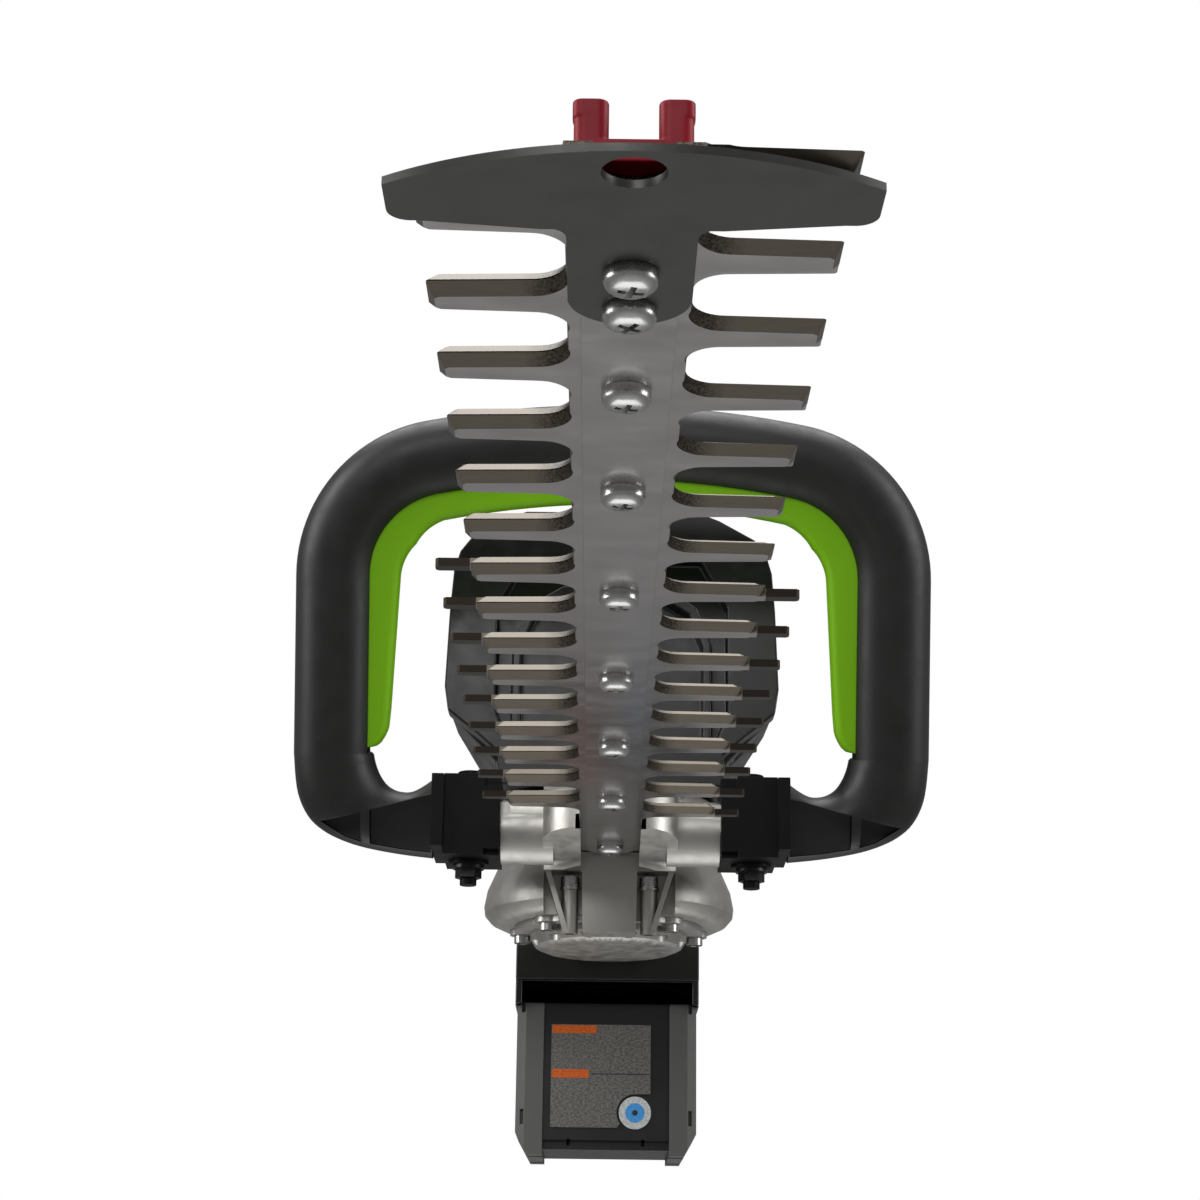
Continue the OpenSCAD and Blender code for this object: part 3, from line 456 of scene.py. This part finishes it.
# Foot of the handle, from the leg down and in to the clamp: outer edge, inner edge, half depth
FOOT = [((157.9, 44), (119.0, 44), 17.5), ((157.6, 27), (118.2, 32), 17.5),
        ((155.6, 12), (116.0, 24.0), 17.5), ((150.5, 1), (112.5, 18.0), 17.2),
        ((143, -6), (108.5, 14.8), 16.8), ((133, -11), (104, 13.4), 16.4),
        ((121, -14.6), (99, 13.6), 16.2), ((104, -17.6), (93.5, 16.4), 16.4),
        ((88, -19.4), (88, 20.4), 17.0)]
# Recesses in the two struts, as (x, v) outlines, and how far from the middle plane they start
POCKETS = ([(143.2, -0.4), (123.0, 4.6), (123.0, -10.6), (131, -8.0)],
           [(118.6, 5.6), (88.4, 13.6), (88.4, -15.4), (104, -13.8), (118.6, -11.4)])
POCKET_FLOOR = 6.5


def spline(points, steps):
    """Catmull-Rom through flat tuples of numbers."""
    made = []
    for i in range(len(points) - 1):
        p = [points[max(i - 1, 0)], points[i], points[i + 1], points[min(i + 2, len(points) - 1)]]
        for k in range(steps):
            t = k / steps
            made.append(tuple(
                0.5 * (2 * b + (c - a) * t + (2 * a - 5 * b + 4 * c - d) * t * t
                       + (3 * b - a - 3 * c + d) * t ** 3)
                for a, b, c, d in zip(*p)))
    return made + [points[-1]]


def loop_half():
    """Rows of the right foot, clamp first: (x, v, normal angle, half width, half depth, grooved)."""
    rows = []
    flat = [(*outer, *inner, deep) for outer, inner, deep in FOOT]
    for ox, ov, ix, iv, deep in reversed(spline(flat, 4)):
        rows.append(((ox + ix) / 2, (ov + iv) / 2, math.atan2(ov - iv, ox - ix),
                     math.hypot(ox - ix, ov - iv) / 2, deep, False))
    return rows


def top_half():
    """Rows of the right leg, corner and half the crown, from the groove up: (x, v, normal angle)."""
    turn = CORNER_TURN
    rows = [(LEG_X, CORNER_V * f + GROOVE_V * (1 - f), 0.0) for f in (0, 0.02, 0.25, 0.5, 0.75)]
    rows += [(x, v, math.radians(turn * i / 24))
             for i, (x, v) in enumerate(arc(LEG_X - CORNER_R, CORNER_V, CORNER_R, 0, turn, 24))]
    rows += [(x, v, math.radians(turn + (90 - turn) * i / 10))
             for i, (x, v) in enumerate(arc(0, TOP_V - CROWN_R, CROWN_R, turn, 90, 10))][1:]
    return rows


def both_halves(rows):
    """Rows that end on the middle plane, followed by their mirror images."""
    return rows + [(-r[0], r[1], math.pi - r[2], *r[3:]) for r in reversed(rows[:-1])]


def loop_ring(row, section):
    """A cross-section set across the row's direction."""
    x, v, w = row[:3]
    return [(x + p * math.cos(w), v + p * math.sin(w), q) for p, q in section]


def tube_section(half, deep, grooved, sides=44):
    """Soft oval of the grip; the last four points are the bar's groove, or lie on the oval."""
    opening = math.asin(GROOVE_W / deep)
    points = []
    for i in range(sides):
        w = (math.pi - opening) * (2 * i / (sides - 1) - 1)
        points.append((half * math.copysign(abs(math.cos(w)) ** 0.9, math.cos(w)),
                       deep * math.copysign(abs(math.sin(w)) ** 0.96, math.sin(w))))
    if grooved:
        floor = -half + GROOVE_DEEP
        return points + [(floor, q) for q in (GROOVE_W, GROOVE_W / 2, -GROOVE_W / 2, -GROOVE_W)]
    inner = [opening * f for f in (0.75, 0.25, -0.25, -0.75)]
    return points + [(-half * math.cos(w) ** 0.9, deep * math.copysign(abs(math.sin(w)) ** 0.96, w))
                     for w in inner]


def front_handle():
    """The grip tube with its two struts, grooved for the switch bar."""
    foot = loop_half()
    top = [(*row, TUBE_HALF, TUBE_R, True) for row in top_half()]
    stop = (LEG_X, GROOVE_V - 0.05, 0.0, TUBE_HALF, TUBE_R, False)
    lower = [row for row in foot if row[1] < GROOVE_V - 1]
    rows = both_halves(lower + [stop] + top)
    bm = skin([loop_ring(row, tube_section(*row[3:])) for row in rows])
    piece = smooth(from_bmesh("front_handle_grip", bm, "handle_black", LOOP), 50)
    for side in (1, -1):
        for outline in POCKETS:
            bm = prism([(side * x, v) for x, v in outline], POCKET_FLOOR, 40)
            cut(piece, from_bmesh("pocket", bm, "handle_black", LOOP))
    bake(piece, chamfer(0.5, 50))
    return stands_for(smooth(piece, 50), "front_handle")


def proud(v, w):
    """How far the bar stands out: it grows up the leg and is widest in the corner."""
    turn = math.degrees(w)
    if turn <= 0:
        return 7.5 + 5.2 * (v - GROOVE_V) / (CORNER_V - GROOVE_V)
    f = turn / CORNER_TURN
    if f < 0.5:
        return 12.7 + 3.6 * f
    return 14.5 - 3.5 * (2 * f - 1) if f < 1 else 10 + (90 - turn) / math.degrees(CROWN_A)


def switch_bar():
    """The lime bar in the groove, with rounded edges and a low ridge along its middle."""
    half_w, tongue, r = 7.2, 5.0, 3.6

    def section(out):
        """The bar's cross-section where it stands out by the given amount."""
        face = -TUBE_HALF - out
        outer = [(face + r - r * math.sin(w), half_w - r + r * math.cos(w))
                 for w in (math.radians(a) for a in range(0, 91, 15))]
        crown = [(face - 0.35, 1.6), (face - 0.35, -1.6)]
        lower = [(p, -q) for p, q in reversed(outer)]
        return [(-TUBE_HALF + tongue, -half_w), (-TUBE_HALF + tongue, half_w)] + outer + crown + lower

    start = [(LEG_X, GROOVE_V + 3 + up, 0.0, out) for up, out in
             ((0, 0.4), (0.5, 2.2), (2.2, 4.2), (5.5, 6.2), (8, 7.3), (10, 7.9))]
    rest = [(x, v, w, proud(v, w)) for x, v, w in top_half() if v > GROOVE_V + 14]
    full = both_halves(start + rest)
    bm = skin([loop_ring(row, section(row[3])) for row in full])
    piece = from_bmesh("front_switch_bar_grip", bm, "lime_plastic", LOOP)
    return stands_for(smooth(piece, 42), "front_switch_bar")


# ---------------------------------------------------------------- bolts

# The bolts before GUARD_END hold the tip guard, and their heads sit on its underside at GUARD_Z. The
# other heads sit on the lower bar. The shanks reach SHANK_OUT past the upper bar's top.
BOLT_STATIONS = [51, 71, 127, 203] + [303 + 104 * i for i in range(5)]
GUARD_END = 90
GUARD_Z = -3.5
LOWER_BAR_Z = -1.5
TOP_BAR = 9.2
SHANK_OUT = 7
SHANK_R = 2.95


def blade_bolts():
    """Pan heads with a flange, a domed crown and a tapered cross recess."""
    head = [(SHANK_R, 0.0), (6.35, 0.0), (6.5, 0.3), (6.55, 1.2), (6.5, 2.0)]
    head += [(6.5 * math.cos(math.radians(a)) ** 0.62, 2.0 + 3.2 * math.sin(math.radians(a)))
             for a in range(10, 85, 8)] + [(0, 5.2)]
    parts, tools = [], []
    for s in BOLT_STATIONS:
        base = GUARD_Z if s < GUARD_END else LOWER_BAR_Z
        turn = Matrix.Translation((0, s, base)) @ Matrix.Diagonal((1, 1, -1, 1))
        end = -(TOP_BAR + SHANK_OUT - base)
        parts.append((lathe([(0, end), (SHANK_R, end)] + head, 56), turn))
        for w in (0, 90):
            taper = skin([[(-a, -b, z), (a, -b, z), (a, b, z), (-a, b, z)]
                          for a, b, z in ((1.5, 0.35, 2.2), (2.5, 0.62, 3.4), (3.3, 0.8, 5.6))])
            tools.append((taper, turn @ Matrix.Rotation(math.radians(w + s % 37), 4, "Z")))
    piece = from_bmesh("blade_bolts_pan", merge(parts), "zinc_steel", STATION)
    for i in (0, 1):
        cut(piece, from_bmesh("cross", merge(tools[i::2]), "zinc_steel", STATION))
    return stands_for(smooth(piece, 35), "blade_bolts")


# ---------------------------------------------------------------- blades

# Teeth stand out from the blade's spine, which is 2 * ROOT_X wide, to REACH or, with a blunt finger,
# to FINGER_REACH
PITCH = 43
BLADE_T = 2.8
UPPER_Z = 3.1
ROOT_X = 15
GULLET_R = 8.5
REACH = 48
FINGER_REACH = 59.5
FINGER_HALF = 2.5
TOOTH_HALF = 8.5
TOOTH_TAPER = math.radians(2.4)
NO_FINGERS = 99
# Bolt slots: radius, and how far the middles of the two ends are from the bolt
SLOT_R = 4.85
SLOT_HALF = 11.5


def half_width(x):
    """Half the width of a tooth's cutting face at x."""
    return TOOTH_HALF - x * math.tan(TOOTH_TAPER)


def tooth_outline(finger):
    """Points of one tooth going along the blade, each as (cutting face point, outer face point)."""
    bevel, least, tip_cut = 3.0, 0.35, 1.9
    centre_x = ROOT_X + GULLET_R
    shoulder = half_width(centre_x)
    side = []
    for i in range(11):
        w = math.radians(180 - 9 * i)
        inset = least + (bevel - least) * min(1.0, i / 8) ** 0.8
        side.append(((centre_x + GULLET_R * math.cos(w), GULLET_R * math.sin(w) - shoulder - GULLET_R),
                     (centre_x + (GULLET_R + inset) * math.cos(w),
                      (GULLET_R + inset) * math.sin(w) - shoulder - GULLET_R)))
    tip = half_width(REACH)
    side.append(((REACH - 0.6, -tip), (REACH - tip_cut - 1.2, -tip + bevel)))
    side.append(((REACH, -tip + 0.6), (REACH - tip_cut, -tip + bevel + 1.0)))
    if finger:
        end = FINGER_HALF
        side.append(((REACH, -end), (REACH - tip_cut, -end)))
        side.append(((FINGER_REACH - 1, -end), (FINGER_REACH - 1, -end)))
        side.append(((FINGER_REACH, -end + 1), (FINGER_REACH, -end + 1)))
    mirrored = [((a, -b), (c, -d)) for (a, b), (c, d) in reversed(side)]
    return side + mirrored


def blade(node, z0, cut_z, out_z, right, left):
    """A toothed blade. Its cutting face is at z0 + cut_z and its outer face at z0 + out_z.

    right and left give the first station, the number of teeth and the first tooth with a finger.
    """
    front = min(right[0], left[0]) - TOOTH_HALF
    back = CRANK_S - 20
    path = [((ROOT_X, front), (ROOT_X, front))]
    for i in range(right[1]):
        s = right[0] + PITCH * i
        path += [((a, b + s), (c, d + s)) for (a, b), (c, d) in tooth_outline(i >= right[2])
                 if b + s >= front]
    path += [((ROOT_X, back), (ROOT_X, back)), ((-ROOT_X, back), (-ROOT_X, back))]
    for i in reversed(range(left[1])):
        s = left[0] + PITCH * i
        path += [((-a, b + s), (-c, d + s)) for (a, b), (c, d) in reversed(tooth_outline(i >= left[2]))
                 if b + s >= front]
    path.append(((-ROOT_X, front), (-ROOT_X, front)))
    bm = skin([[(*p, z0 + cut_z) for p, _ in path], [(*q, z0 + out_z) for _, q in path]])
    piece = from_bmesh(node + "_ground", bm, "blade_steel", STATION)
    rim = []
    for cx, cy, side, start in ((22, -18, 1, -90), (22, 18, 1, 0), (22, 18, -1, 0), (22, -18, -1, -90)):
        ends = (start, start + 90) if side > 0 else (start + 90, start)
        rim += [(x * side + cx * side, y + cy) for x, y in arc(0, 0, 8, *ends, 6)]
    tail = merge([(prism(rim, z0, z0 + BLADE_T), Matrix.Translation((0, CRANK_S, 0)))])
    cut(piece, from_bmesh("tail", tail, "blade_steel", STATION), "UNION")
    slots = []
    spans = [(SLOT_R, s - SLOT_HALF, s + SLOT_HALF) for s in BOLT_STATIONS] + [(8.6, -20, 14)]
    for r, a, b in spans:
        outline = arc(0, b, r, 0, 180, 12) + arc(0, a, r, 180, 360, 12)
        slots.append((prism(outline, z0 - 1, z0 + BLADE_T + 1), Matrix.Identity(4)))
    yoke = arc(10.5, CRANK_S, 14.6, -90, 90, 24) + arc(-10.5, CRANK_S, 14.6, 90, 270, 24)
    slots.append((prism(yoke, z0 - 1, z0 + BLADE_T + 1), Matrix.Identity(4)))
    for group in (slots[0::3], slots[1::3], slots[2::3]):
        cut(piece, from_bmesh("slots", merge(group), "blade_steel", STATION))
    return stands_for(smooth(piece, 24), node)


# ---------------------------------------------------------------- battery label

# Station of the battery's front face
LABEL_S = 873


def label():
    """A textless rating label: grey film, two plain orange bars, a ring with a blue dot."""
    def film(name, bm, look):
        """One layer of the label, in millimetres about LABEL_S."""
        piece = from_bmesh(name, bm, look, STATION @ Matrix.Translation((0, LABEL_S, 0)))
        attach(piece, "battery")
        return smooth(piece, 40)

    plate = [(-30, -125.5), (6, -125.5)] + arc(15.7, -117.5, 10, 215, 90, 12)
    plate += [(24, -107.5), (24, -70.5), (-30, -70.5)]
    base = film("label_film", prism(plate, 0.05, 0.8, "xz"), "label_grey")
    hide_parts("battery_label")
    strips = []
    for x0, z0, x1, z1 in ((-29.6, -75.2, -5.5, -71.0), (-29.6, -99.2, -9.5, -94.6)):
        corners = ((x1, z0, -90), (x1, z1, 0), (x0, z1, 90), (x0, z0, 180))
        outline = [p for x, z, turn in corners for p in arc(
            x + 0.5 * (1 if x == x0 else -1), z + 0.5 * (1 if z == z0 else -1), 0.5, turn, turn + 90, 3)]
        strips.append((prism(outline, -0.02, 0.1, "xz"), Matrix.Identity(4)))
    film("label_bars", merge(strips), PRINT_ORANGE)
    rule = [(-8.2, -97.3), (23.4, -97.3), (23.4, -96.7), (-8.2, -96.7)]
    film("label_rule", prism(rule, 0.0, 0.1, "xz"), PRINT_DARK)
    facing = Matrix.Translation((15.7, 0, -117.5)) @ Matrix.Rotation(math.radians(90), 4, "X")
    discs = {
        "label_ring": ([(0, -0.6), (8.5, -0.6), (8.7, -0.3), (8.6, 0.0), (6.0, 0.06), (0, 0.06)],
                       PRINT_WHITE),
        "label_dot": ([(0, 0.0), (5.2, 0.0), (5.2, 0.14), (0, 0.16)], PRINT_BLUE),
        "label_dot_centre": ([(0, 0.1), (1.5, 0.1), (1.5, 0.2), (0, 0.22)], PRINT_DARK),
    }
    for name, (profile, look) in discs.items():
        film(name, merge([(lathe(profile), facing)]), look)


# ---------------------------------------------------------------- build

front_handle()
switch_bar()
blade_bolts()
blade("lower_blade", 0, BLADE_T, 0, (10, 16, 7), (34, 15, NO_FINGERS))
blade("upper_blade", UPPER_Z, 0, BLADE_T, (15, 16, NO_FINGERS), (34, 15, 6))
label()

# Voxel size in millimetres and rounds of smoothing
SOFT = {
    "left_housing": (1.4, 5), "right_housing": (1.4, 5),
    "left_rear_handle": (1.1, 16), "right_rear_handle": (1.1, 16),
    "rear_trigger": (0.5, 6), "lock_off_button": (0.5, 6), "swivel_latch": (0.5, 6),
    "tip_clip": (0.3, 4),
}
for node, (voxel, rounds) in SOFT.items():
    soften(node, voxel, rounds)
# Width of the chamfer in millimetres
EDGED = {
    "gear_case": 0.9, "gear_cover": 0.6, "tip_guard": 0.35, "clamp_nuts": 0.3,
    "front_shroud": 1.2, "battery_bay": 0.8, "battery_case": 0.8, "battery_bumpers": 1.0,
    "battery_latch": 0.6, "swivel_ring": 0.8, "lower_guide_bar": 0.2, "upper_guide_bar": 0.3,
    "cover_screws": 0.25, "nose_screws": 0.25,
}
for node, width in EDGED.items():
    crisp(node, width)
crisp("clamp_bolts", 0.3, look=CLAMP_BLACK)
# What is taken off the clamps' collars: spans of x counted outward, of stations, and two of heights
COLLAR_X = (82, 95)
COLLAR_S = (690, 770)
COLLAR_OFF = ((-30, -5.5), (30.3, 50))
for node, side in (("left_clamp_block", -1), ("right_clamp_block", 1)):
    x0, x1 = sorted(side * x for x in COLLAR_X)
    spans = [((x0, COLLAR_S[0], z0), (x1, COLLAR_S[1], z1)) for z0, z1 in COLLAR_OFF]
    crisp(node, 0.8, look=CLAMP_BLACK, trim=spans)


# ---------------------------------------------------------------- stage, light, camera

def camera():
    """The photo's view: a long lens in front of the tip and below it, looking up along the tool."""
    data = bpy.data.cameras.new("camera")
    made = bpy.data.objects.new("camera", data)
    scene.collection.objects.link(made)
    data.lens = 72
    data.sensor_width = 36
    data.clip_start = 0.01
    data.clip_end = 100
    made.location = place(-5.6, -446, -234)
    turn = (Matrix.Rotation(math.radians(0.05), 4, "Z") @ Matrix.Rotation(math.radians(107.1), 4, "X")
            @ Matrix.Rotation(math.radians(0.75), 4, "Z"))
    made.rotation_euler = turn.to_euler()
    scene.camera = made


def softbox(name, at, aim, size, power):
    """An area light that the camera doesn't see."""
    data = bpy.data.lights.new(name, "AREA")
    data.shape = "RECTANGLE"
    data.size, data.size_y = size
    data.energy = power
    made = bpy.data.objects.new(name, data)
    scene.collection.objects.link(made)
    made.location = at
    made.rotation_euler = (Vector(aim) - Vector(at)).to_track_quat("-Z", "Y").to_euler()
    made.visible_camera = False


def stage():
    """A floor, a world that is white to the camera and dim to the tool, and five softboxes."""
    bm = bmesh.new()
    bmesh.ops.create_circle(bm, cap_ends=True, segments=96, radius=30)
    floor = from_bmesh("floor", bm, moulded("floor_paper", (0.80, 0.80, 0.79), 0.7, 60, 0.0002))
    floor.location = (0, 0, -3.0)
    world = bpy.data.worlds.new("studio")
    scene.world = world
    world.use_nodes = True
    tree = world.node_tree
    back = tree.nodes["Background"]
    path = tree.nodes.new("ShaderNodeLightPath")
    white = tree.nodes.new("ShaderNodeBackground")
    white.inputs["Color"].default_value = (1, 1, 1, 1)
    white.inputs["Strength"].default_value = 1.0
    back.inputs["Color"].default_value = (1, 1, 1, 1)
    back.inputs["Strength"].default_value = 0.26
    join = tree.nodes.new("ShaderNodeMixShader")
    tree.links.new(path.outputs["Is Camera Ray"], join.inputs[0])
    tree.links.new(back.outputs[0], join.inputs[1])
    tree.links.new(white.outputs[0], join.inputs[2])
    tree.links.new(join.outputs[0], tree.nodes["World Output"].inputs["Surface"])
    for name, at, size, power in (("left_box", (-1.9, -0.5, 0.9), (1.0, 1.8), 30),
                                  ("right_box", (1.9, -0.5, 0.9), (1.0, 1.8), 24),
                                  ("top_box", (0, 0.2, 2.0), (2.0, 2.0), 40),
                                  ("front_box", (-0.5, -2.4, 1.3), (1.2, 0.6), 15),
                                  ("low_box", (0, 0.9, -2.2), (2.4, 2.0), 20)):
        softbox(name, at, (0, 0, 0.15), size, power)
    scene.view_settings.view_transform = "Standard"


camera()
stage()
